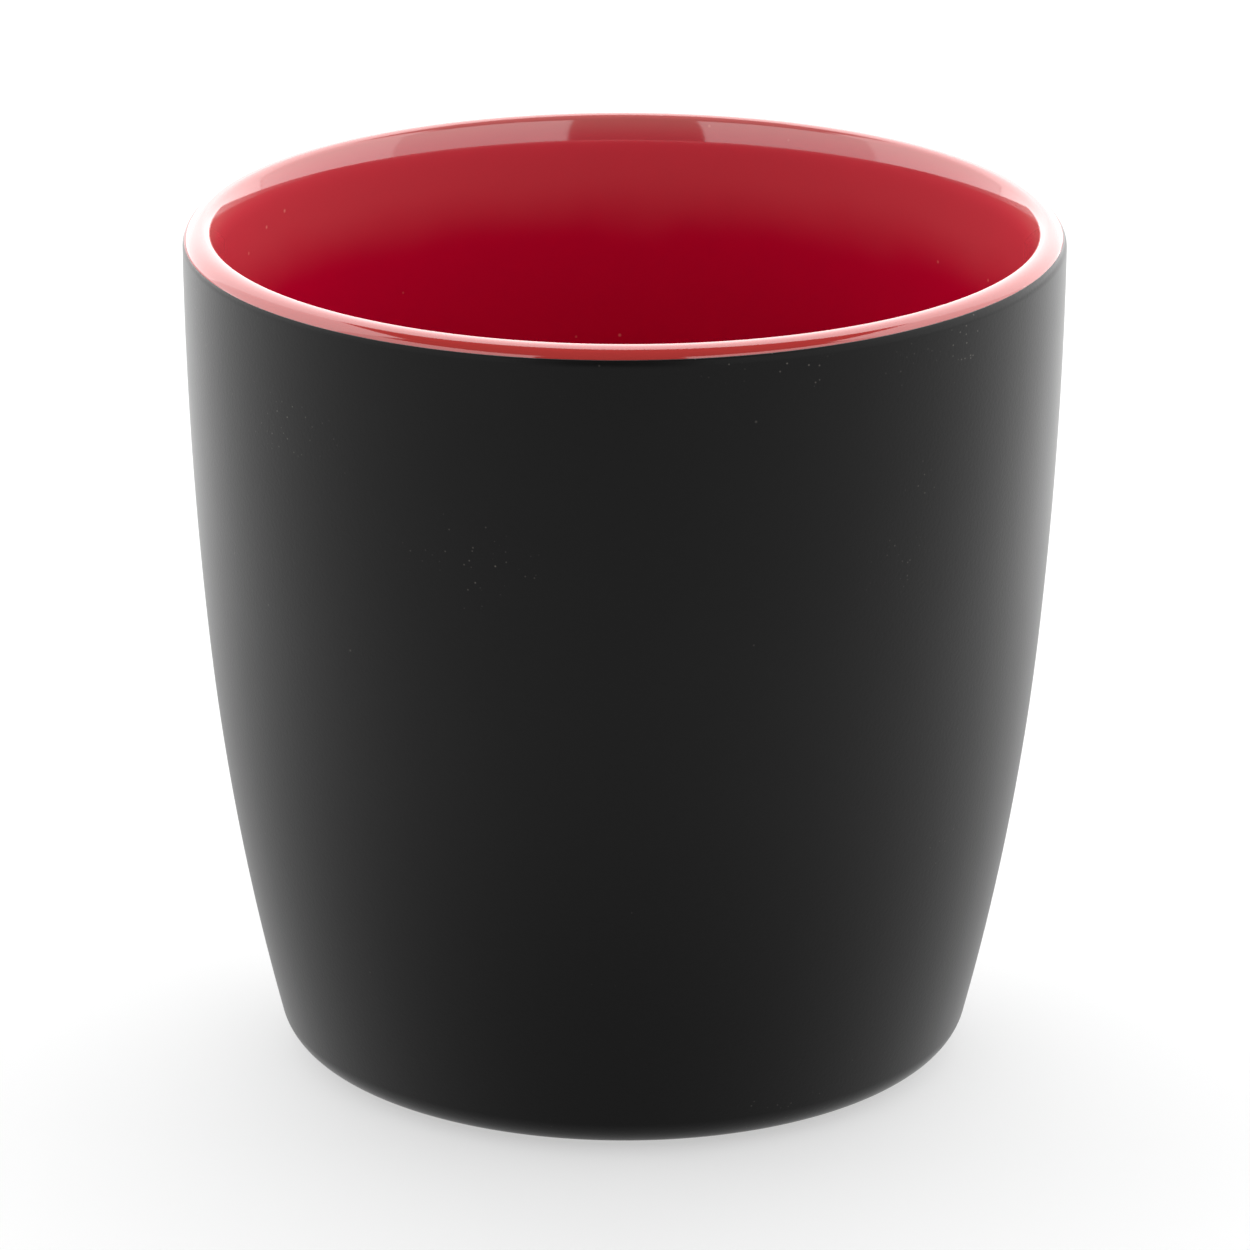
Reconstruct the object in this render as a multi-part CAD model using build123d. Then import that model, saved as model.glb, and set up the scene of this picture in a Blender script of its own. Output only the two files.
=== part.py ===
from build123d import *
import os
from dataclasses import dataclass
from math import asin, atan2, cos, hypot, pi, sin, sqrt

# A handleless drinking cup of slip-cast stoneware. A matt black glaze covers the outside. A glossy red
# glaze lines the inside, rolls over the lip and stops just below it. The foot ring is bare clay.
# Millimetres, +Z up. The origin is on the cup's axis, level with the table that the foot ring stands on.
# Sizes are those of the finished cup, with its glaze on.

# Outside wall: two tangent bows, plumb at the lip, then a round heel
rim_diameter = 88.0
cup_height = 86.0
upper_wall_radius = 458.0
wall_join_height = 43.5
lower_wall_radius = 270.0
heel_radius = 3.9
heel_clearance = 0.6

# Wall and floor: the cast wall is even, and the floor is measured up from the foot well
wall_thickness = 3.5
floor_thickness = 5.0
inside_corner_radius = 9.0

# Lip: thinned from the inside by a soft flare, then rounded over
lip_taper = 0.6
lip_flare_radius = 7.0
lip_inner_radius = 0.9
lip_flat = 0.2

# Glaze: one thickness all over, and how far the red comes down outside, below the top of the lip
glaze_thickness = 0.3
red_lap = 1.0

# Foot: a narrow ring set in from the heel, round a shallow well
foot_setback = 1.0
foot_ring_width = 3.0
foot_edge_radius = 0.4
foot_well_depth = 2.2
foot_well_fillet = 1.0


@dataclass
class Bow:
    """A round stretch of the cup's section, in radius and height, from one angle about its centre to another.

    behind is 1 where the centre lies behind the finished face, and -1 where it lies in front of it.
    """

    centre: tuple
    radius: float
    start: float
    end: float
    behind: int = 1

    def reach(self, depth):
        return self.radius - self.behind * depth

    def point(self, angle, depth=0.0):
        return along(self.centre, angle, self.reach(depth))

    def edge(self, depth=0.0):
        middle = (self.start + self.end) / 2
        return ThreePointArc(*[self.point(angle, depth) for angle in (self.start, middle, self.end)])

    def cut(self, level, depth):
        """The stretches above and below a level, at a depth under the finished face, either of them None."""
        if self.point(self.end, depth)[1] >= level:
            return self, None
        if self.point(self.start, depth)[1] <= level:
            return None, self
        angle = asin((level - self.centre[1]) / self.reach(depth))
        above = Bow(self.centre, self.radius, self.start, angle, self.behind)
        return above, Bow(self.centre, self.radius, angle, self.end, self.behind)


def along(origin, angle, distance):
    return (origin[0] + distance * cos(angle), origin[1] + distance * sin(angle))


def bearing(origin, target):
    return atan2(target[1] - origin[1], target[0] - origin[0])


def nested(centre, radius, small_radius, level):
    """Centre, at a level, of a small round that touches a bow from within."""
    reach = radius - small_radius
    return (centre[0] + sqrt(reach**2 - (level - centre[1]) ** 2), level)


def lower_crossing(first, first_radius, second, second_radius):
    """The lower of the two points where two circles cross."""
    apart = hypot(second[0] - first[0], second[1] - first[1])
    foot = (first_radius**2 - second_radius**2 + apart**2) / (2 * apart)
    half_chord = sqrt(first_radius**2 - foot**2)
    heading = bearing(first, second)
    on_line = along(first, heading, foot)
    sides = [along(on_line, heading + turn, half_chord) for turn in (pi / 2, -pi / 2)]
    return min(sides, key=lambda point: point[1])


# Centres of the bows
rim_radius = rim_diameter / 2
lip_outer_radius = wall_thickness - lip_taper - lip_flat - lip_inner_radius
floor_level = foot_well_depth + floor_thickness

upper_centre = (rim_radius - upper_wall_radius, cup_height)
join_angle = asin((wall_join_height - cup_height) / upper_wall_radius)
lower_centre = along(upper_centre, join_angle, upper_wall_radius - lower_wall_radius)
heel_centre = nested(lower_centre, lower_wall_radius, heel_radius, heel_clearance + heel_radius)
lip_outer_centre = nested(upper_centre, upper_wall_radius, lip_outer_radius, cup_height - lip_outer_radius)

inner_upper_radius = upper_wall_radius - wall_thickness
inner_lower_radius = lower_wall_radius - wall_thickness
corner_level = floor_level + inside_corner_radius
corner_centre = nested(lower_centre, inner_lower_radius, inside_corner_radius, corner_level)
lip_inner_centre = (lip_outer_centre[0] - lip_flat, cup_height - lip_inner_radius)
flare_centre = lower_crossing(
    lip_inner_centre, lip_flare_radius - lip_inner_radius, upper_centre, inner_upper_radius + lip_flare_radius
)

# Outer face, from the lip's crown down to the heel's underside
lip_angle = bearing(upper_centre, lip_outer_centre)
heel_angle = bearing(lower_centre, heel_centre)
outer_face = [
    Bow(lip_outer_centre, lip_outer_radius, pi / 2, lip_angle),
    Bow(upper_centre, upper_wall_radius, lip_angle, join_angle),
    Bow(lower_centre, lower_wall_radius, join_angle, heel_angle),
    Bow(heel_centre, heel_radius, heel_angle, -pi / 2),
]

# Inner face, from the lip's crown down to the floor
flare_top = bearing(flare_centre, lip_inner_centre)
wall_top = bearing(upper_centre, flare_centre)
corner_top = bearing(lower_centre, corner_centre)
inner_face = [
    Bow(lip_inner_centre, lip_inner_radius, pi / 2, flare_top),
    Bow(flare_centre, lip_flare_radius, flare_top, pi + wall_top),
    Bow(upper_centre, inner_upper_radius, wall_top, join_angle, behind=-1),
    Bow(lower_centre, inner_lower_radius, join_angle, corner_top, behind=-1),
    Bow(corner_centre, inside_corner_radius, corner_top, -pi / 2, behind=-1),
]

# Foot ring and well
ring_outer_radius = heel_centre[0] - foot_setback
ring_inner_radius = ring_outer_radius - foot_ring_width
well_centre = (ring_inner_radius - foot_well_fillet, foot_well_depth - foot_well_fillet)
well_round = Bow(well_centre, foot_well_fillet, 0, pi / 2, behind=-1)
outer_edge = (ring_outer_radius - foot_edge_radius, foot_edge_radius)
inner_edge = (ring_inner_radius + foot_edge_radius, foot_edge_radius)
ring_face = [
    Bow(outer_edge, foot_edge_radius, 0, -pi / 2),
    Bow(inner_edge, foot_edge_radius, -pi / 2, -pi),
]

red_line = cup_height - red_lap


def arcs(bows, depth):
    return [bow.edge(depth) for bow in bows]


def coat_above(depth):
    """The outer face's stretches above the red line, at a depth under the finished face."""
    halves = [bow.cut(red_line, depth)[0] for bow in outer_face]
    return [bow for bow in halves if bow]


def coat_below(depth):
    """The outer face's stretches below the red line, at a depth under the finished face."""
    halves = [bow.cut(red_line, depth)[1] for bow in outer_face]
    return [bow for bow in halves if bow]


def crown(depth):
    """The narrow flat along the top of the lip."""
    return Line(outer_face[0].point(pi / 2, depth), inner_face[0].point(pi / 2, depth))


def floor_line(depth):
    """The inside floor, from its round corner to the cup's axis."""
    return Line(inner_face[-1].point(-pi / 2, depth), (0, floor_level - depth))


def turned(edges):
    """The solid that a closed section makes when it is turned about the cup's axis."""
    return revolve(Plane.XZ * make_face(edges), Axis.Z)


def clay_body():
    """Wall, floor and bare foot ring, cast in one piece."""
    heel_end = outer_face[-1].point(-pi / 2, glaze_thickness)
    ring_top = (ring_outer_radius, heel_end[1])
    edges = arcs(outer_face + inner_face, glaze_thickness)
    edges += [crown(glaze_thickness), floor_line(glaze_thickness)]
    edges += [Line(heel_end, ring_top), Line(ring_top, ring_face[0].point(0))]
    edges += arcs(ring_face, 0)
    edges += [Line(ring_face[0].point(-pi / 2), ring_face[1].point(-pi / 2))]
    edges += [Line(ring_face[1].point(-pi), well_round.point(0)), well_round.edge()]
    edges += [Line(well_round.point(pi / 2), (0, foot_well_depth))]
    edges += [Line((0, foot_well_depth), (0, floor_level - glaze_thickness))]
    return turned(edges)


def inner_glaze():
    """Red lining that rolls over the lip and laps down outside as far as the red line."""
    edges = []
    for depth in (0, glaze_thickness):
        edges += arcs(coat_above(depth) + inner_face, depth)
        edges += [crown(depth), floor_line(depth)]
    edges += [Line(*[coat_above(depth)[-1].edge(depth) @ 1 for depth in (0, glaze_thickness)])]
    edges += [Line((0, floor_level), (0, floor_level - glaze_thickness))]
    return turned(edges)


def outer_glaze():
    """Black coat from the red line down to the underside of the heel."""
    edges = []
    for depth in (0, glaze_thickness):
        edges += arcs(coat_below(depth), depth)
    edges += [Line(*[coat_below(depth)[0].edge(depth) @ 0 for depth in (0, glaze_thickness)])]
    edges += [Line(*[outer_face[-1].point(-pi / 2, depth) for depth in (0, glaze_thickness)])]
    return turned(edges)


def foot_well_glaze():
    """Black coat on the well's ceiling and its round corner, clear of the ring that stands on the table."""
    well_top = foot_well_depth - glaze_thickness
    edges = [well_round.edge(), well_round.edge(-glaze_thickness)]
    edges += [Line(well_round.point(0), well_round.point(0, -glaze_thickness))]
    edges += [Line(well_round.point(pi / 2), (0, foot_well_depth))]
    edges += [Line(well_round.point(pi / 2, -glaze_thickness), (0, well_top))]
    edges += [Line((0, well_top), (0, foot_well_depth))]
    return turned(edges)


def fill():
    """What the cup holds when it is full to the brim."""
    brim = inner_face[0].point(pi / 2)
    edges = arcs(inner_face, 0) + [floor_line(0), Line(brim, (0, cup_height))]
    edges += [Line((0, cup_height), (0, floor_level))]
    return turned(edges)


os.makedirs("parts", exist_ok=True)
for piece in (clay_body, inner_glaze, outer_glaze, foot_well_glaze):
    export_step(piece(), f"parts/{piece.__name__}.step")
millilitre = 1000.0
print(f"holds {fill().volume / millilitre:.0f} ml to the brim")
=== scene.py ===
# %% [markdown]
# A handleless drinking cup of slip-cast stoneware, matt black outside, with a glossy red lining that rolls
# over the lip. The solid model gives the clay and its three coats of glaze at their real size. This lesson
# makes a finer version of the two coats that show, with the soft edges and the uneven colour line of a
# glaze that was poured by hand, gives every surface its finish, and sets the cup on a pale floor in soft
# studio light.

# %% The frame
from collections import namedtuple
from math import asin, atan2, ceil, cos, exp, hypot, pi, radians, sin, sqrt, tan

import bmesh
import bpy
from mathutils import Matrix, Vector


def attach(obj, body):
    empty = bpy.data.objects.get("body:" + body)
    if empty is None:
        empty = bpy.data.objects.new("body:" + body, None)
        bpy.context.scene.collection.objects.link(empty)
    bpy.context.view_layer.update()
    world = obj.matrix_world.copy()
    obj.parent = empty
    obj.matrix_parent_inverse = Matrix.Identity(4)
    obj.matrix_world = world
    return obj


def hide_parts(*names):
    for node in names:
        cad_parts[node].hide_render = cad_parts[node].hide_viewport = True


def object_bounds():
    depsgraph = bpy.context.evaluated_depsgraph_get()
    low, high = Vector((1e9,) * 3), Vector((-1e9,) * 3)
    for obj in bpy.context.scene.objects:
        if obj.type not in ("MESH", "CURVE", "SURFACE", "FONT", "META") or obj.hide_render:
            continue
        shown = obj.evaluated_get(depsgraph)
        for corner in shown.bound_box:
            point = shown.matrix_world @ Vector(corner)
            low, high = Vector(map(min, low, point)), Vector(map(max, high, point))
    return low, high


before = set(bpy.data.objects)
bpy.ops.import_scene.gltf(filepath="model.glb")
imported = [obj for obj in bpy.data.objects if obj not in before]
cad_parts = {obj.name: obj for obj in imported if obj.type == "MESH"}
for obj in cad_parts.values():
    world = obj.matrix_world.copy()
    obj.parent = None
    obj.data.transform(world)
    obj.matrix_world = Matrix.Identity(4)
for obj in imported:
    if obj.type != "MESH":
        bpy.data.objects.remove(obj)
cad_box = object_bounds()
mm = 0.001
print("CAD box, mm:", [[round(c / mm, 2) for c in corner] for corner in cad_box])

# %% [markdown]
# The camera stands well back with a long lens, as for a product picture, and looks down into the cup. Its
# place could be found by eye, but here the rim's ellipse and the outline fix it: the ratio of the
# ellipse's axes gives the pitch, and how fast the wall narrows in perspective gives the distance.

# %% Camera
camera_place = Vector((0.1, -676.3, 278.2)) * mm
camera_pitch = 19.135
camera_roll = 0.11
focal_length = 203.03
sensor_width = 36.0
nearest_seen = 10.0 * mm
level_tilt = 90.0

camera = bpy.data.objects.new("camera", bpy.data.cameras.new("camera"))
camera.data.lens = focal_length
camera.data.sensor_width = sensor_width
camera.data.clip_start = nearest_seen
tip_down = Matrix.Rotation(radians(level_tilt - camera_pitch), 4, "X")
lean = Matrix.Rotation(radians(camera_roll), 4, "Z")
camera.matrix_world = Matrix.Translation(camera_place) @ tip_down @ lean
bpy.context.scene.collection.objects.link(camera)
bpy.context.scene.camera = camera
bpy.context.scene.view_settings.view_transform = "Standard"
print("camera", [round(c, 4) for c in camera.location], "pitch", camera_pitch)

# %% [markdown]
# The section of the cup is the curve that a potter's template would have: a few round stretches, called
# bows here, that run into each other without a corner. It could be a row of points read off a drawing, but
# bows need only a few sizes and stay smooth at any distance. The outer and the inner face are lists of
# bows, each with a centre, a radius and two angles. A coat of glaze is the same bows again, one glaze
# thickness deeper. The sizes are the solid model's own, so the coats that are turned from them lie exactly
# where its coats lie.

# %% Sizes of the section, in millimetres
rim_radius = 44.0
cup_height = cad_box[1].z / mm
upper_wall_radius = 458.0
wall_join_height = 43.5
lower_wall_radius = 270.0
heel_radius = 3.9
heel_clearance = 0.6
wall_thickness = 3.5
floor_level = 7.2
inside_corner_radius = 9.0
lip_taper = 0.6
lip_flare_radius = 7.0
lip_inner_radius = 0.9
lip_flat = 0.2
glaze_thickness = 0.3
red_lap = 1.0

Bow = namedtuple("Bow", "centre radius start end behind", defaults=[1])
print(f"section {2 * rim_radius:.0f} mm wide and {cup_height:.0f} mm high")


# %% Geometry of bows
def along(origin, angle, distance):
    """The point at a distance from another, in a direction."""
    return (origin[0] + distance * cos(angle), origin[1] + distance * sin(angle))


def bearing(origin, target):
    """The direction from one point to another."""
    return atan2(target[1] - origin[1], target[0] - origin[0])


def nested(centre, radius, small_radius, level):
    """Centre, at a level, of a small round that touches a bow from within."""
    reach = radius - small_radius
    return (centre[0] + sqrt(reach**2 - (level - centre[1]) ** 2), level)


def lower_crossing(first, first_radius, second, second_radius):
    """The lower of the two points where two circles cross."""
    apart = hypot(second[0] - first[0], second[1] - first[1])
    foot = (first_radius**2 - second_radius**2 + apart**2) / (2 * apart)
    half_chord = sqrt(first_radius**2 - foot**2)
    heading = bearing(first, second)
    on_line = along(first, heading, foot)
    sides = [along(on_line, heading + turn, half_chord) for turn in (pi / 2, -pi / 2)]
    return min(sides, key=lambda point: point[1])


crossing = lower_crossing((0, 0), 5, (6, 0), 5)
print("circles of radius 5 whose centres are 6 apart cross at", [round(c, 3) for c in crossing])

# %% Centres of the bows
lip_outer_radius = wall_thickness - lip_taper - lip_flat - lip_inner_radius
inner_upper_radius = upper_wall_radius - wall_thickness
inner_lower_radius = lower_wall_radius - wall_thickness
corner_level = floor_level + inside_corner_radius

upper_centre = (rim_radius - upper_wall_radius, cup_height)
join_angle = asin((wall_join_height - cup_height) / upper_wall_radius)
lower_centre = along(upper_centre, join_angle, upper_wall_radius - lower_wall_radius)
heel_centre = nested(lower_centre, lower_wall_radius, heel_radius, heel_clearance + heel_radius)
corner_centre = nested(lower_centre, inner_lower_radius, inside_corner_radius, corner_level)
lip_centre = nested(upper_centre, upper_wall_radius, lip_outer_radius, cup_height - lip_outer_radius)
lip_inner_centre = (lip_centre[0] - lip_flat, cup_height - lip_inner_radius)
flare_centre = lower_crossing(
    lip_inner_centre,
    lip_flare_radius - lip_inner_radius,
    upper_centre,
    inner_upper_radius + lip_flare_radius,
)
print(f"the lip's outer round is {lip_outer_radius:.1f} mm in radius, the heel's {heel_radius:.1f} mm")

# %% The bows of the outer and the inner face, each from the lip downwards
lip_angle = bearing(upper_centre, lip_centre)
heel_angle = bearing(lower_centre, heel_centre)
outer_wall = [
    Bow(upper_centre, upper_wall_radius, lip_angle, join_angle),
    Bow(lower_centre, lower_wall_radius, join_angle, heel_angle),
    Bow(heel_centre, heel_radius, heel_angle, -pi / 2),
]
flare_top = bearing(flare_centre, lip_inner_centre)
wall_top = bearing(upper_centre, flare_centre)
corner_top = bearing(lower_centre, corner_centre)
inner_wall = [
    Bow(lip_inner_centre, lip_inner_radius, pi / 2, flare_top),
    Bow(flare_centre, lip_flare_radius, flare_top, pi + wall_top),
    Bow(upper_centre, inner_upper_radius, wall_top, join_angle, behind=-1),
    Bow(lower_centre, inner_lower_radius, join_angle, corner_top, behind=-1),
    Bow(corner_centre, inside_corner_radius, corner_top, -pi / 2, behind=-1),
]
line_angle = asin((cup_height - red_lap - lip_centre[1]) / lip_outer_radius)
print(f"the red ends {lip_outer_radius * (line_angle - lip_angle):.2f} mm above the straight of the wall")

# %% [markdown]
# A section is now a row of points, dense on the small rounds and wide apart on the long bows. Each point
# carries two numbers along. One is its distance from the colour line, which the glaze's colour reads
# later. The other says how far the point follows when the colour line is pushed up or down the lip, from 1
# at the line to 0 at the ends of the lip's round. Where two glazes meet, each draws back into a soft
# shoulder, so the finished face dips a little at the line, and the black one thins out to nothing under
# the heel.

# %% Spacing of a section's points, in millimetres and as angles
line_dip = 0.03
line_shoulder = 0.16
lip_turn, hidden_lip_turn = radians(1.0), radians(4.0)
fine_step, fine_turn = 1.5, radians(3.0)
coarse_step, coarse_turn = 5.0, radians(9.0)
heel_step = 0.06
heel_thinning = 0.36
floor_steps = 12
far_from_line = 9.0

Point = namedtuple("Point", "radius height from_line follow")
print(f"the glaze dips {line_dip} mm at the colour line")


# %% Points along a bow and round the lip
def trace(bow, depth, step, turn):
    """Points along a bow at a depth under the finished face, without the last one."""
    reach = bow.radius - bow.behind * depth
    sweep = bow.end - bow.start
    count = ceil(max(abs(sweep) * reach / step, abs(sweep) / turn))
    places = [along(bow.centre, bow.start + sweep * i / count, reach) for i in range(count)]
    return [Point(*place, far_from_line, 0.0) for place in places]


def ease(share):
    """Smooth rise from 0 to 1."""
    share = min(max(share, 0.0), 1.0)
    return share * share * (3 - 2 * share)


def trace_lip(start, end, depth):
    """Points on the lip's outer round. At the finished face they dip towards the colour line."""
    count = ceil(abs(end - start) / (hidden_lip_turn if depth else lip_turn))
    points = []
    for i in range(count + 1):
        angle = start + (end - start) * i / count
        from_line = lip_outer_radius * abs(angle - line_angle)
        dip = 0.0 if depth else line_dip * exp(-((from_line / line_shoulder) ** 2))
        limit = pi / 2 if angle > line_angle else lip_angle
        follow = ease((limit - angle) / (limit - line_angle))
        place = along(lip_centre, angle, lip_outer_radius - depth - dip)
        points.append(Point(*place, from_line, follow))
    return points


print(len(trace_lip(line_angle, pi / 2, 0.0)), "points on the lip's round above the line")


# %% Points of the walls, the floor and the end of the black
def bow_points(bows, depth, fine):
    """Points along a row of bows, close together or wide apart."""
    step, turn = (fine_step, fine_turn) if fine else (coarse_step, coarse_turn)
    return [point for bow in bows for point in trace(bow, depth, step, turn)]


def floor_points(depth):
    """Points of the inside floor, from its round corner to the axis."""
    shares = [1 - i / floor_steps for i in range(floor_steps + 1)]
    return [Point(corner_centre[0] * share, floor_level - depth, far_from_line, 0.0) for share in shares]


def thin_out(points, length):
    """Draws the last stretch of a finished face down to the clay, in a quarter round."""
    end = points[-1]
    thinned = []
    for point in points:
        left = hypot(point.radius - end.radius, point.height - end.height)
        share = max(1 - left / length, 0.0)
        depth = glaze_thickness * (1 - sqrt(1 - share**2))
        inward = bearing((point.radius, point.height), heel_centre)
        place = along((point.radius, point.height), inward, depth)
        thinned.append(Point(*place, point.from_line, point.follow))
    return thinned


print(len(bow_points(inner_wall, 0.0, True)), "points down the inside wall")
print(len(floor_points(0.0)), "points on the floor")


# %% Sections of the two coats, with the glaze on the right-hand side of the way round
def red_section():
    """From the axis over the floor, up the wall and over the lip to the line, and back along the clay."""
    sides = []
    for depth, fine in ((0.0, True), (glaze_thickness, False)):
        lip = trace_lip(line_angle, pi / 2, depth)
        sides.append(lip + bow_points(inner_wall, depth, fine) + floor_points(depth))
    finished, clay = sides
    return finished[::-1] + clay


def black_section():
    """From the line down the wall and under the heel, and back along the clay."""
    finished = trace_lip(line_angle, lip_angle, 0.0)[:-1] + bow_points(outer_wall[:-1], 0.0, True)
    heel = trace(outer_wall[-1], 0.0, heel_step, fine_turn)
    heel.append(Point(heel_centre[0], heel_clearance, far_from_line, 0.0))
    clay = trace_lip(line_angle, lip_angle, glaze_thickness)[:-1]
    clay += bow_points(outer_wall, glaze_thickness, False)
    return finished + thin_out(heel, heel_thinning) + clay[::-1]


sections = {"red_lining": red_section(), "black_coat": black_section()}
print({name: len(points) for name, points in sections.items()}, "points")

# %% [markdown]
# Two helpers serve every tree in the file. One adds a node: its settings are properties of the node, and
# each of its inputs is either a value or the output that feeds it. The other turns a colour as a paint
# chart gives it, an sRGB hex value, into the linear numbers that shaders work with. A Mix node has several
# sockets of the same name, one for each kind of data, so those for colours go by their numbers.

# %% Helpers for nodes and colours
node_spacing = 190
FACTOR, COLOUR_A, COLOUR_B, MIXED = 0, 6, 7, 2


def add(tree, kind, inputs=None, **settings):
    """Adds one node to a tree, with its settings, values and links."""
    node = tree.nodes.new(kind)
    node.location.x = node_spacing * len(tree.nodes)
    for name, value in settings.items():
        setattr(node, name, value)
    for socket, value in (inputs or {}).items():
        if isinstance(value, bpy.types.NodeSocket):
            tree.links.new(value, node.inputs[socket])
        else:
            node.inputs[socket].default_value = value
    return node


def linear(hex_colour):
    """Linear RGBA of an sRGB hex colour, by the curve of the sRGB standard."""
    shares = [int(hex_colour[i : i + 2], 16) / 255 for i in (1, 3, 5)]
    return [s / 12.92 if s <= 0.04045 else ((s + 0.055) / 1.055) ** 2.4 for s in shares] + [1.0]


print("a middle grey is", round(linear("#808080")[0], 3), "in linear light")

# %% [markdown]
# A round pot is a section carried once round an axis, so one Geometry Nodes group turns both coats. Curve
# to Mesh does the turning: its path is a circle, and its profile is the section. A modifier stack with
# Screw would turn a section too, but here the group goes one step further. On the real cup the colour line
# isn't quite level: the lining was poured and rolled by hand, so the line sits a little lower on one side
# and wanders slightly. The group slides the lip's points round the centre of the lip's own curve, so that
# the line moves and the lip keeps its shape.

# %% Inputs of the group
turn = bpy.data.node_groups.new("turn on the wheel", "GeometryNodeTree")
input_kinds = {
    "Section": "Geometry",
    "Steps Around": "Int",
    "Wheel Radius": "Float",
    "Lip Centre Radius": "Float",
    "Lip Centre Height": "Float",
    "Lip Round": "Float",
    "Line Tilt": "Float",
    "Low Side": "Float",
    "Line Wander": "Float",
    "Wanders Around": "Float",
    "Seed": "Float",
    "Material": "Material",
}
turn_inputs = {}
for name, kind in input_kinds.items():
    socket = turn.interface.new_socket(name, in_out="INPUT", socket_type=f"NodeSocket{kind}")
    turn_inputs[name] = socket.identifier
turn.interface.new_socket("Coat", in_out="OUTPUT", socket_type="NodeSocketGeometry")
given = add(turn, "NodeGroupInput").outputs
print(len(turn_inputs), "inputs")

# %% The section turned into a coat, closed where it meets itself and the axis
merge_distance = 0.001 * mm

circle = {"Resolution": given["Steps Around"], "Radius": given["Wheel Radius"]}
path = add(turn, "GeometryNodeCurvePrimitiveCircle", circle)
profile = add(turn, "GeometryNodeMeshToCurve", {"Mesh": given["Section"]})
turned = add(
    turn, "GeometryNodeCurveToMesh", {"Curve": path.outputs[0], "Profile Curve": profile.outputs[0]}
)
closed = add(
    turn, "GeometryNodeMergeByDistance", {"Geometry": turned.outputs[0], "Distance": merge_distance}
)
print(len(turn.nodes), "nodes so far")

# %% Directions at each point: outwards from the axis, and around it
place = add(turn, "GeometryNodeInputPosition").outputs[0]
axes = add(turn, "ShaderNodeSeparateXYZ", {0: place}).outputs
azimuth = add(turn, "ShaderNodeMath", {0: axes["Y"], 1: axes["X"]}, operation="ARCTAN2").outputs[0]
cosine = add(turn, "ShaderNodeMath", {0: azimuth}, operation="COSINE").outputs[0]
sine = add(turn, "ShaderNodeMath", {0: azimuth}, operation="SINE").outputs[0]
minus_sine = add(turn, "ShaderNodeMath", {0: sine, 1: -1.0}, operation="MULTIPLY").outputs[0]
outward = add(turn, "ShaderNodeCombineXYZ", {"X": cosine, "Y": sine}).outputs[0]
around = add(turn, "ShaderNodeCombineXYZ", {"X": minus_sine, "Y": cosine}).outputs[0]
print(len(turn.nodes), "nodes so far")

# %% How far the colour line slides at each point, as an angle round the lip
wander_detail = 3.0
noise_middle = 0.5

off_low = add(turn, "ShaderNodeMath", {0: azimuth, 1: given["Low Side"]}, operation="SUBTRACT").outputs[0]
lowness = add(turn, "ShaderNodeMath", {0: off_low}, operation="COSINE").outputs[0]
tilt = add(turn, "ShaderNodeMath", {0: lowness, 1: given["Line Tilt"]}, operation="MULTIPLY").outputs[0]
noise = add(
    turn,
    "ShaderNodeTexNoise",
    {"Vector": outward, "W": given["Seed"], "Scale": given["Wanders Around"], "Detail": wander_detail},
    noise_dimensions="4D",
).outputs[0]
sway = add(turn, "ShaderNodeMath", {0: noise, 1: noise_middle}, operation="SUBTRACT").outputs[0]
wander = add(turn, "ShaderNodeMath", {0: sway, 1: given["Line Wander"]}, operation="MULTIPLY").outputs[0]
slide = add(turn, "ShaderNodeMath", {0: tilt, 1: wander}, operation="ADD").outputs[0]
full_angle = add(turn, "ShaderNodeMath", {0: slide, 1: given["Lip Round"]}, operation="DIVIDE").outputs[0]
follow = add(turn, "GeometryNodeInputNamedAttribute", {"Name": "follow"}, data_type="FLOAT").outputs[0]
angle = add(turn, "ShaderNodeMath", {0: full_angle, 1: follow}, operation="MULTIPLY").outputs[0]
print(len(turn.nodes), "nodes so far")

# %% The slide itself, round the middle of the lip's curve, and the end of the group
lip_out = add(
    turn, "ShaderNodeVectorMath", {0: outward, "Scale": given["Lip Centre Radius"]}, operation="SCALE"
)
lip_up = add(turn, "ShaderNodeCombineXYZ", {"Z": given["Lip Centre Height"]}).outputs[0]
lip_middle = add(turn, "ShaderNodeVectorMath", {0: lip_out.outputs[0], 1: lip_up}, operation="ADD")
slid = add(
    turn,
    "ShaderNodeVectorRotate",
    {"Vector": place, "Center": lip_middle.outputs[0], "Axis": around, "Angle": angle},
    rotation_type="AXIS_ANGLE",
)
moved = add(turn, "GeometryNodeSetPosition", {"Geometry": closed.outputs[0], "Position": slid.outputs[0]})
smooth = add(turn, "GeometryNodeSetShadeSmooth", {"Geometry": moved.outputs[0]})
real = add(turn, "GeometryNodeRealizeInstances", {"Geometry": smooth.outputs[0]})
glazed = add(turn, "GeometryNodeSetMaterial", {"Geometry": real.outputs[0], "Material": given["Material"]})
add(turn, "NodeGroupOutput", {"Coat": glazed.outputs[0]})
print(len(turn.nodes), "nodes turn a section")

# %% [markdown]
# Each finish begins as a material with an empty tree and ends in a shader. What is the same all over the
# surface is set straight on the shader's sockets, and what varies from place to place is linked to them.
# Patterns read the object's own coordinates in metres, so a pattern's scale is one over its real size.
# Specks of every kind are made alike: space is cut into cells with one point in each, and a speck shows
# where the surface passes close to a point.

# %% Start of a finish, and specks
def new_finish(name):
    """A new material and its empty tree."""
    material = bpy.data.materials.new(name)
    material.use_nodes = True
    material.node_tree.nodes.clear()
    return material, material.node_tree


def per(size):
    """Scale of a pattern whose features are a size in millimetres."""
    return 1 / (size * mm)


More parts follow.
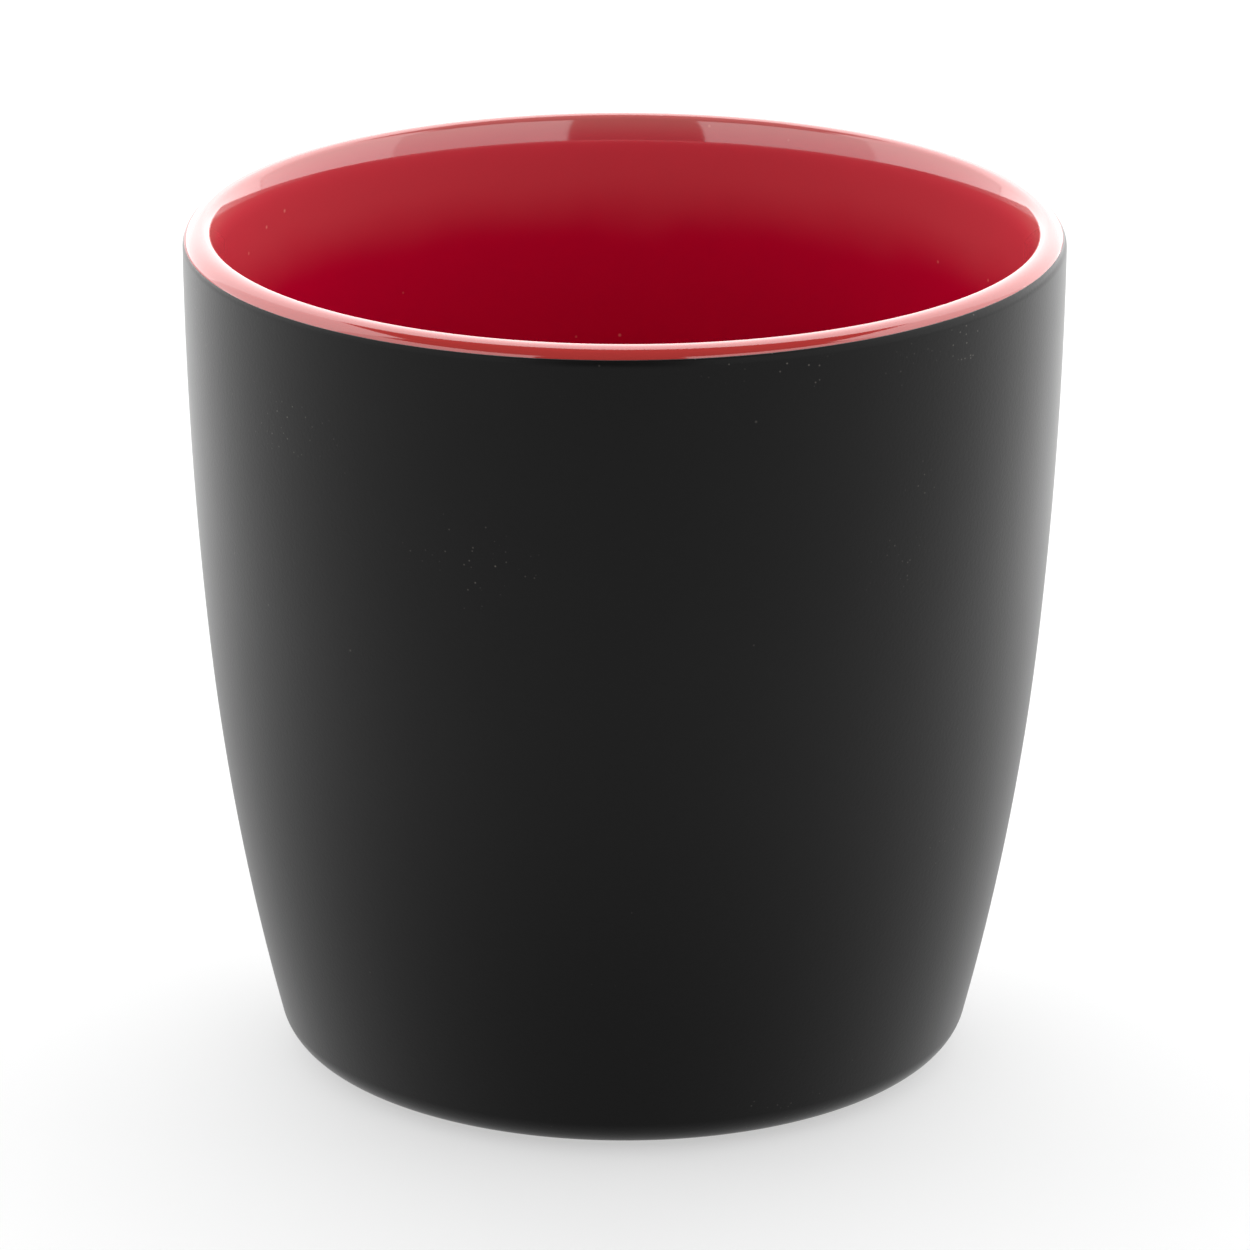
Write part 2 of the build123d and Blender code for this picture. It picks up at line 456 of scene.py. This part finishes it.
def specks(tree, place, spacing, radius, strength):
    """How strongly specks show, with their spacing and radius in millimetres."""
    cells = add(tree, "ShaderNodeTexVoronoi", {"Vector": place, "Scale": per(spacing)})
    nearness = {"Value": cells.outputs["Distance"], "From Min": radius / spacing, "From Max": 0.0}
    return add(tree, "ShaderNodeMapRange", {**nearness, "To Max": strength}).outputs["Result"]


print("a pattern of 1 mm has a scale of", round(per(1.0)))

# %% [markdown]
# The red lining is a glossy stoneware glaze, opaque, coloured with a stain and fired until it ran smooth
# as glass. What the eye gets is a deep red with sharp reflections, a very slight ripple in them, and a
# pale speck here and there. The red is brick red over the crown, and darker where it pooled in the corner
# of the floor. Two paler bands are painted light: a paler pink on the upper wall stands in for the light
# that falls straight on the top of the wall above the rim's shadow, and a milky pink at the brim is a
# painted highlight that widens the lip's gleam. It could be painted as one ramp of colours by height, but
# the lip turns over, so bands that are mixed one after another can go by height or by distance from the
# axis. At the colour line the last of the red is so thin that the black shows through. A glaze's index is
# usually about 1.55; here it is higher, to match how strongly the lip mirrors the lights.

# %% Red gloss glaze: its colours and patterns, with sizes in millimetres
Band = namedtuple("Band", "measure begins whole colour strength", defaults=[1.0])
red_wall = "#B8042F"
red_bands_with_painted_light = [
    # painted light: a paler upper wall, where light falls straight in above the rim's shadow
    Band("drifting height", begins=72.0, whole=80.0, colour="#C43E48"),
    # painted highlight: a milky pink at the brim that widens the lip's gleam
    Band("height", begins=83.4, whole=86.0, colour="#C0605E"),
    Band("distance from axis", begins=41.6, whole=42.3, colour="#AF322F"),
    Band("height", begins=16.0, whole=7.0, colour="#9E0820", strength=0.6),
]
red_speck = dict(spacing=5.0, radius=0.25, strength=0.8)
red_speck_colour = "#E8A08F"
red_line_colour = "#3B0C0F"
ragged_noise = {"Scale": per(0.7)}
ragged_fade = {"To Min": 0.045 * mm, "To Max": 0.135 * mm}
cloud_noise = {"Scale": per(14.0), "Detail": 2.0}
cloud_drift = {"To Min": -2.0 * mm, "To Max": 2.0 * mm}
ripple_noise = {"Scale": per(2.6), "Detail": 1.0}
ripple_bump = {"Strength": 1.0, "Distance": 0.003 * mm}
red_roughness = {"To Min": 0.05, "To Max": 0.08}
red_index = 1.8
without_height = (1.0, 1.0, 0.0)
print(len(red_bands_with_painted_light), "bands of colour on the red, which fades out over", ragged_fade["To Max"] / mm, "mm")


# %% Red gloss glaze: its colour from the floor to the brim
def red_body(tree, place, cloud):
    """The colour of the lining, changed band by band, with its specks."""
    height = add(tree, "ShaderNodeSeparateXYZ", {0: place}).outputs["Z"]
    flat_place = add(tree, "ShaderNodeVectorMath", {0: place, 1: without_height}, operation="MULTIPLY")
    from_axis = add(tree, "ShaderNodeVectorMath", {0: flat_place.outputs[0]}, operation="LENGTH")
    drift = add(tree, "ShaderNodeMapRange", {"Value": cloud, **cloud_drift}).outputs["Result"]
    measures = {
        "height": height,
        "drifting height": add(tree, "ShaderNodeMath", {0: height, 1: drift}, operation="ADD").outputs[0],
        "distance from axis": from_axis.outputs["Value"],
    }
    colour = linear(red_wall)
    # two of the bands are painted light: the paler upper wall and the milky brim
    for band in red_bands_with_painted_light:
        rise = {"Value": measures[band.measure], "From Min": band.begins * mm, "From Max": band.whole * mm}
        rise["To Max"] = band.strength
        share = add(tree, "ShaderNodeMapRange", rise, interpolation_type="SMOOTHSTEP").outputs["Result"]
        tints = {FACTOR: share, COLOUR_A: colour, COLOUR_B: linear(band.colour)}
        colour = add(tree, "ShaderNodeMix", tints, data_type="RGBA").outputs[MIXED]
    tints = {FACTOR: specks(tree, place, **red_speck), COLOUR_A: colour, COLOUR_B: linear(red_speck_colour)}
    return add(tree, "ShaderNodeMix", tints, data_type="RGBA").outputs[MIXED]


print("the red wall in linear light:", [round(share, 3) for share in linear(red_wall)[:3]])


# %% Red gloss glaze: its thin edge and its skin
def red_gloss_glaze():
    """The lining's material: its colour under a smooth skin, fading out at the colour line."""
    material, tree = new_finish("red gloss glaze")
    place = add(tree, "ShaderNodeTexCoord").outputs["Object"]
    cloud = add(tree, "ShaderNodeTexNoise", {"Vector": place, **cloud_noise}).outputs[0]
    from_line = add(tree, "ShaderNodeAttribute", attribute_name="from_line").outputs["Fac"]
    rag = add(tree, "ShaderNodeTexNoise", {"Vector": place, **ragged_noise}).outputs[0]
    fade = add(tree, "ShaderNodeMapRange", {"Value": rag, **ragged_fade}).outputs["Result"]
    edge = {"Value": from_line, "From Max": fade}
    cover = add(tree, "ShaderNodeMapRange", edge, interpolation_type="SMOOTHSTEP").outputs["Result"]
    tints = {FACTOR: cover, COLOUR_A: linear(red_line_colour), COLOUR_B: red_body(tree, place, cloud)}
    ripple = add(tree, "ShaderNodeTexNoise", {"Vector": place, **ripple_noise}).outputs[0]
    skin = {
        "Base Color": add(tree, "ShaderNodeMix", tints, data_type="RGBA").outputs[MIXED],
        "Roughness": add(tree, "ShaderNodeMapRange", {"Value": cloud, **red_roughness}).outputs["Result"],
        "Normal": add(tree, "ShaderNodeBump", {"Height": ripple, **ripple_bump}).outputs["Normal"],
        "IOR": red_index,
    }
    shader = add(tree, "ShaderNodeBsdfPrincipled", skin)
    add(tree, "ShaderNodeOutputMaterial", {"Surface": shader.outputs[0]})
    return material


red_glaze = red_gloss_glaze()
print(red_glaze.name, "has", len(red_glaze.node_tree.nodes), "nodes")

# %% [markdown]
# The black coat is a matt glaze: crystals that form as it cools leave its skin finely toothed, so it
# scatters light instead of mirroring it. What the eye gets is a near-black that stays dark when seen
# square on and gleams softly where the wall turns away. A plain rough black would look alike from the
# front, but not at the edges. The tooth swallows much of what a smooth face would mirror, so the index is
# well under a glaze's usual 1.55, and a sheen stands for what the edges of the crystals scatter at a low
# angle. Hands leave the skin a little smoother in patches, and towards the foot it stays drier. A few
# specks of dust lie on it, and finer ones gather here and there. The real tooth is about 0.05 mm, too fine
# to show from here, so it is drawn several times coarser.

# %% Matt black glaze: its colours and patterns, with sizes in millimetres
black_colours = ("#040404", "#080808")
dust_colour = "#8C8780"
dust = dict(spacing=5.0, radius=0.16, strength=0.25)
mote = dict(spacing=0.8, radius=0.11)
gathering_noise = {"W": 151.0, "Scale": per(16.0), "Detail": 2.0}
gathering = {"From Min": 0.6, "From Max": 0.7, "To Max": 0.6}
patch_noise = {"Scale": per(9.0), "Detail": 3.0}
tooth_noise = {"Scale": per(0.35), "Detail": 3.0}
tooth_bump = {"Strength": 1.0, "Distance": 0.010 * mm}
handled_roughness = {"To Min": 0.26, "To Max": 0.32}
drier_downwards = {"From Min": 70.0 * mm, "From Max": 2.0 * mm, "To Max": 0.65}
black_skin = {"IOR": 1.2, "Sheen Weight": 0.54, "Sheen Roughness": 0.42}
print("specks of dust", 2 * dust["radius"], "mm wide, and motes", 2 * mote["radius"], "mm wide")


# %% Matt black glaze: near-black with dust on it
def black_body(tree, place, patch):
    """The colour of the black coat, with single specks of dust and finer ones that gather."""
    tints = {FACTOR: patch, COLOUR_A: linear(black_colours[0]), COLOUR_B: linear(black_colours[1])}
    body = add(tree, "ShaderNodeMix", tints, data_type="RGBA").outputs[MIXED]
    drift = add(tree, "ShaderNodeTexNoise", {"Vector": place, **gathering_noise}, noise_dimensions="4D")
    gathered = add(tree, "ShaderNodeMapRange", {"Value": drift.outputs[0], **gathering}).outputs["Result"]
    single = specks(tree, place, **dust)
    fine = specks(tree, place, **mote, strength=gathered)
    lint = add(tree, "ShaderNodeMath", {0: single, 1: fine}, operation="MAXIMUM").outputs[0]
    tints = {FACTOR: lint, COLOUR_A: body, COLOUR_B: linear(dust_colour)}
    return add(tree, "ShaderNodeMix", tints, data_type="RGBA").outputs[MIXED]


print("the black scatters at most", round(linear(black_colours[1])[0], 4), "of the light")


# %% Matt black glaze: its toothed skin
def matt_black_glaze():
    """The black coat's material: toothed, handled in patches, and drier towards the foot."""
    material, tree = new_finish("matt black glaze")
    place = add(tree, "ShaderNodeTexCoord").outputs["Object"]
    patch = add(tree, "ShaderNodeTexNoise", {"Vector": place, **patch_noise}).outputs[0]
    handled = add(tree, "ShaderNodeMapRange", {"Value": patch, **handled_roughness}).outputs["Result"]
    height = add(tree, "ShaderNodeSeparateXYZ", {0: place}).outputs["Z"]
    fall = {"Value": height, **drier_downwards}
    drier = add(tree, "ShaderNodeMapRange", fall, interpolation_type="SMOOTHSTEP").outputs["Result"]
    tooth = add(tree, "ShaderNodeTexNoise", {"Vector": place, **tooth_noise}).outputs[0]
    skin = {
        "Base Color": black_body(tree, place, patch),
        "Roughness": add(tree, "ShaderNodeMath", {0: handled, 1: drier}, operation="ADD").outputs[0],
        "Normal": add(tree, "ShaderNodeBump", {"Height": tooth, **tooth_bump}).outputs["Normal"],
    }
    shader = add(tree, "ShaderNodeBsdfPrincipled", {**skin, **black_skin})
    add(tree, "ShaderNodeOutputMaterial", {"Surface": shader.outputs[0]})
    return material


black_glaze = matt_black_glaze()
print(black_glaze.name, "has", len(black_glaze.node_tree.nodes), "nodes")

# %% [markdown]
# The foot ring is the one place without glaze: bare stoneware, wiped clean before firing so that the cup
# doesn't stick to the kiln shelf, and ground smooth after it. What the eye gets is a dry, buff clay with a
# fine grain, a few dark specks of iron, and no shine. One noise serves as grain for both the roughness and
# the bump, so that the hollows are also the dry places.

# %% Bare stoneware, with sizes in millimetres
clay_colours = ("#CDBFA9", "#DDD2BF")
iron_colour = "#6E4A30"
iron = dict(spacing=2.2, radius=0.2, strength=0.8)
tone_noise = {"Scale": per(6.0), "Detail": 4.0}
grain_noise = {"Scale": per(0.5), "Detail": 4.0}
grain_bump = {"Strength": 1.0, "Distance": 0.02 * mm}
clay_roughness = {"To Min": 0.68, "To Max": 0.85}
clay_index = 1.5


def bare_stoneware():
    """The foot ring's material: buff, grainy and dry."""
    material, tree = new_finish("bare ground stoneware")
    place = add(tree, "ShaderNodeTexCoord").outputs["Object"]
    tone = add(tree, "ShaderNodeTexNoise", {"Vector": place, **tone_noise}).outputs[0]
    tints = {FACTOR: tone, COLOUR_A: linear(clay_colours[0]), COLOUR_B: linear(clay_colours[1])}
    body = add(tree, "ShaderNodeMix", tints, data_type="RGBA").outputs[MIXED]
    tints = {FACTOR: specks(tree, place, **iron), COLOUR_A: body, COLOUR_B: linear(iron_colour)}
    grain = add(tree, "ShaderNodeTexNoise", {"Vector": place, **grain_noise}).outputs[0]
    skin = {
        "Base Color": add(tree, "ShaderNodeMix", tints, data_type="RGBA").outputs[MIXED],
        "Roughness": add(tree, "ShaderNodeMapRange", {"Value": grain, **clay_roughness}).outputs["Result"],
        "Normal": add(tree, "ShaderNodeBump", {"Height": grain, **grain_bump}).outputs["Normal"],
        "IOR": clay_index,
    }
    shader = add(tree, "ShaderNodeBsdfPrincipled", skin)
    add(tree, "ShaderNodeOutputMaterial", {"Surface": shader.outputs[0]})
    return material


bare_clay = bare_stoneware()
print(bare_clay.name, "has", len(bare_clay.node_tree.nodes), "nodes")

# %% [markdown]
# Now the coats themselves. Each section becomes a mesh of bare edges whose points carry their two numbers,
# and the group turns it. Curve to Mesh lays the profile's X outwards and its Y downwards, so a point's
# place there is its radius less the wheel's, and its height below the table. The result is taken as a
# plain mesh, and its signed volume tells whether its faces point outwards.

# %% How the coats are turned, in millimetres and as angles
finishes = {"red_gloss_glaze": red_glaze, "matt_black_glaze": black_glaze, "bare_stoneware": bare_clay}
wheel_radius = rim_radius
turn_values = {
    "Steps Around": 360,
    "Wheel Radius": wheel_radius * mm,
    "Lip Centre Radius": lip_centre[0] * mm,
    "Lip Centre Height": lip_centre[1] * mm,
    "Lip Round": lip_outer_radius * mm,
    "Line Tilt": 0.25 * mm,
    "Low Side": pi,
    "Line Wander": 0.12 * mm,
    "Wanders Around": 2.5,
    "Seed": 4.0,
}
carried_numbers = {"from_line": mm, "follow": 1.0}
print(turn_values["Steps Around"], "steps around, and each point carries", list(carried_numbers))


# %% A section's mesh, laid out for the wheel
def section_mesh(name, points, meets_itself):
    """Bare edges along a section, laid out for the wheel, with the points' two numbers."""
    bare = bpy.data.meshes.new(name + "_section")
    count = len(points)
    edges = [(i, (i + 1) % count) for i in range(count if meets_itself else count - 1)]
    bare.from_pydata([((p.radius - wheel_radius) * mm, -p.height * mm, 0.0) for p in points], edges, [])
    for number, unit in carried_numbers.items():
        layer = bare.attributes.new(number, "FLOAT", "POINT")
        layer.data.foreach_set("value", [getattr(p, number) * unit for p in points])
    return bare


for name, points in sections.items():
    lowest = min(p.height for p in points)
    print(f"{name}: the lowest point is {lowest:.2f} mm above the table")


# %% A coat turned from its section
def turned_coat(name, points, meets_itself, slot):
    """A coat turned from its section, as a plain mesh object."""
    coat = bpy.data.objects.new(name, section_mesh(name, points, meets_itself))
    bpy.context.scene.collection.objects.link(coat)
    turning = coat.modifiers.new("turn on the wheel", "NODES")
    turning.node_group = turn
    for socket, value in {**turn_values, "Material": finishes[slot]}.items():
        turning[turn_inputs[socket]] = value
    made = coat.evaluated_get(bpy.context.evaluated_depsgraph_get())
    plain = bpy.data.meshes.new_from_object(made)
    coat.modifiers.remove(turning)
    coat.data = plain
    plain.name = name
    return coat


def describe(coat):
    """Prints a coat's faces, its signed volume and how many of its edges are open."""
    shape = bmesh.new()
    shape.from_mesh(coat.data)
    open_edges = sum(not edge.is_manifold for edge in shape.edges)
    volume = shape.calc_volume(signed=True) / mm**3
    shape.free()
    print(f"{coat.name}: {len(coat.data.polygons)} faces, {volume:.1f} cubic mm, {open_edges} open edges")


red_lining = turned_coat("red_lining", sections["red_lining"], False, "red_gloss_glaze")
black_coat = turned_coat("black_coat", sections["black_coat"], True, "matt_black_glaze")
describe(red_lining)
describe(black_coat)

# %% The red lining and the black coat, in place of the solid model's coats
for coat, node, slot in (
    (red_lining, "inner_glaze", "red_gloss_glaze"),
    (black_coat, "outer_glaze", "matt_black_glaze"),
):
    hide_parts(node)
    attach(coat, "root")
    print(coat.name, "stands in for", node)

# %% [markdown]
# The clay and the coat in the foot well are right as the solid model has them, so they stay, and only take
# the new finishes.

# %% Finishes of the parts that stay
for node, slot in (("clay_body", "bare_stoneware"), ("foot_well_glaze", "matt_black_glaze")):
    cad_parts[node].data.materials[0] = finishes[slot]
    print(node, "has", finishes[slot].name)

# %% [markdown]
# The cup stands on a pale floor, wide enough to fill every view from above. White paper would throw so
# much light back at the black wall that it looked grey, so the paper is a light grey that scatters evenly.
# It adds a light of its own in what the camera sees and what the glazes mirror, so that it reads as white,
# and the cup still casts its soft shadow on it.

# %% Floor
floor_width = 8.0
floor_colour = "#ACACAC"
floor_glow = 0.5

half = floor_width / 2
corners = [(-half, -half, 0), (half, -half, 0), (half, half, 0), (-half, half, 0)]
floor_mesh = bpy.data.meshes.new("floor")
floor_mesh.from_pydata(corners, [], [range(len(corners))])
floor = bpy.data.objects.new("floor", floor_mesh)
bpy.context.scene.collection.objects.link(floor)
print("floor", floor_width, "m wide")

# %% Pale paper: evenly matt, with a glow for the camera, for mirrors and for glass
paper, tree = new_finish("pale paper")
light_path = add(tree, "ShaderNodeLightPath").outputs
seen = light_path["Is Camera Ray"]
for ray in ("Is Glossy Ray", "Is Transmission Ray"):
    seen = add(tree, "ShaderNodeMath", {0: seen, 1: light_path[ray]}, operation="MAXIMUM").outputs[0]
glow = add(tree, "ShaderNodeMath", {0: seen, 1: floor_glow}, operation="MULTIPLY").outputs[0]
matt = add(tree, "ShaderNodeBsdfDiffuse", {"Color": linear(floor_colour)})
shine = add(tree, "ShaderNodeEmission", {"Strength": glow})
both = add(tree, "ShaderNodeAddShader", {0: matt.outputs[0], 1: shine.outputs[0]})
add(tree, "ShaderNodeOutputMaterial", {"Surface": both.outputs[0]})
floor_mesh.materials.append(paper)
print(paper.name, "has", len(tree.nodes), "nodes")

# %% [markdown]
# Five large soft lights stand round the cup like the walls of a light tent. A single lamp would leave most
# of a glossy lip without anything to mirror. Two low ones in front show as the pale bands on the lip, with
# a dark gap between them, where the camera stands. Two at the sides draw the soft gleam down the edges of
# the black wall. The tall one behind shines into the cup, where the front wall throws its red light on to
# the back wall. Lights of this kind don't shade each other, so the panels meet edge to edge: each is given
# by the angles that it spans as seen from the cup, round from the camera and up from the floor. The room
# beyond them is dim.

# %% Lights
Softbox = namedtuple("Softbox", "left right height radiance distance")
softboxes = {
    "front left softbox": Softbox(left=-77.0, right=-23.0, height=45.0, radiance=1.7, distance=1.5),
    "left softbox": Softbox(left=-131.0, right=-77.0, height=55.0, radiance=2.4, distance=1.5),
    "back softbox": Softbox(left=124.5, right=229.0, height=72.0, radiance=3.0, distance=1.3),
    "right softbox": Softbox(left=70.5, right=124.5, height=55.0, radiance=2.4, distance=1.5),
    "front right softbox": Softbox(left=16.5, right=70.5, height=45.0, radiance=1.7, distance=1.5),
}
up = Vector((0, 0, 1))
for name, box in softboxes.items():
    light = bpy.data.objects.new(name, bpy.data.lights.new(name, "AREA"))
    side = radians((box.left + box.right) / 2)
    away = Vector((sin(side), -cos(side), 0))
    light.data.shape = "RECTANGLE"
    light.data.size = 2 * box.distance * tan(radians(box.right - box.left) / 2)
    light.data.size_y = box.distance * tan(radians(box.height))
    light.data.energy = pi * light.data.size * light.data.size_y * box.radiance
    light.location = box.distance * away + light.data.size_y / 2 * up
    light.rotation_euler = away.to_track_quat("Z", "Y").to_euler()
    light.visible_camera = False
    bpy.context.scene.collection.objects.link(light)
    print(name, [round(c, 2) for c in light.location])

# %% Room beyond the lights
room_colour = "#FFFFFF"
room_level = 0.1

world = bpy.data.worlds.new("dim room")
world.use_nodes = True
world.node_tree.nodes.clear()
light_of_room = {"Color": linear(room_colour), "Strength": room_level}
room = add(world.node_tree, "ShaderNodeBackground", light_of_room)
add(world.node_tree, "ShaderNodeOutputWorld", {"Surface": room.outputs[0]})
bpy.context.scene.world = world
print(world.name, "at a level of", room_level)
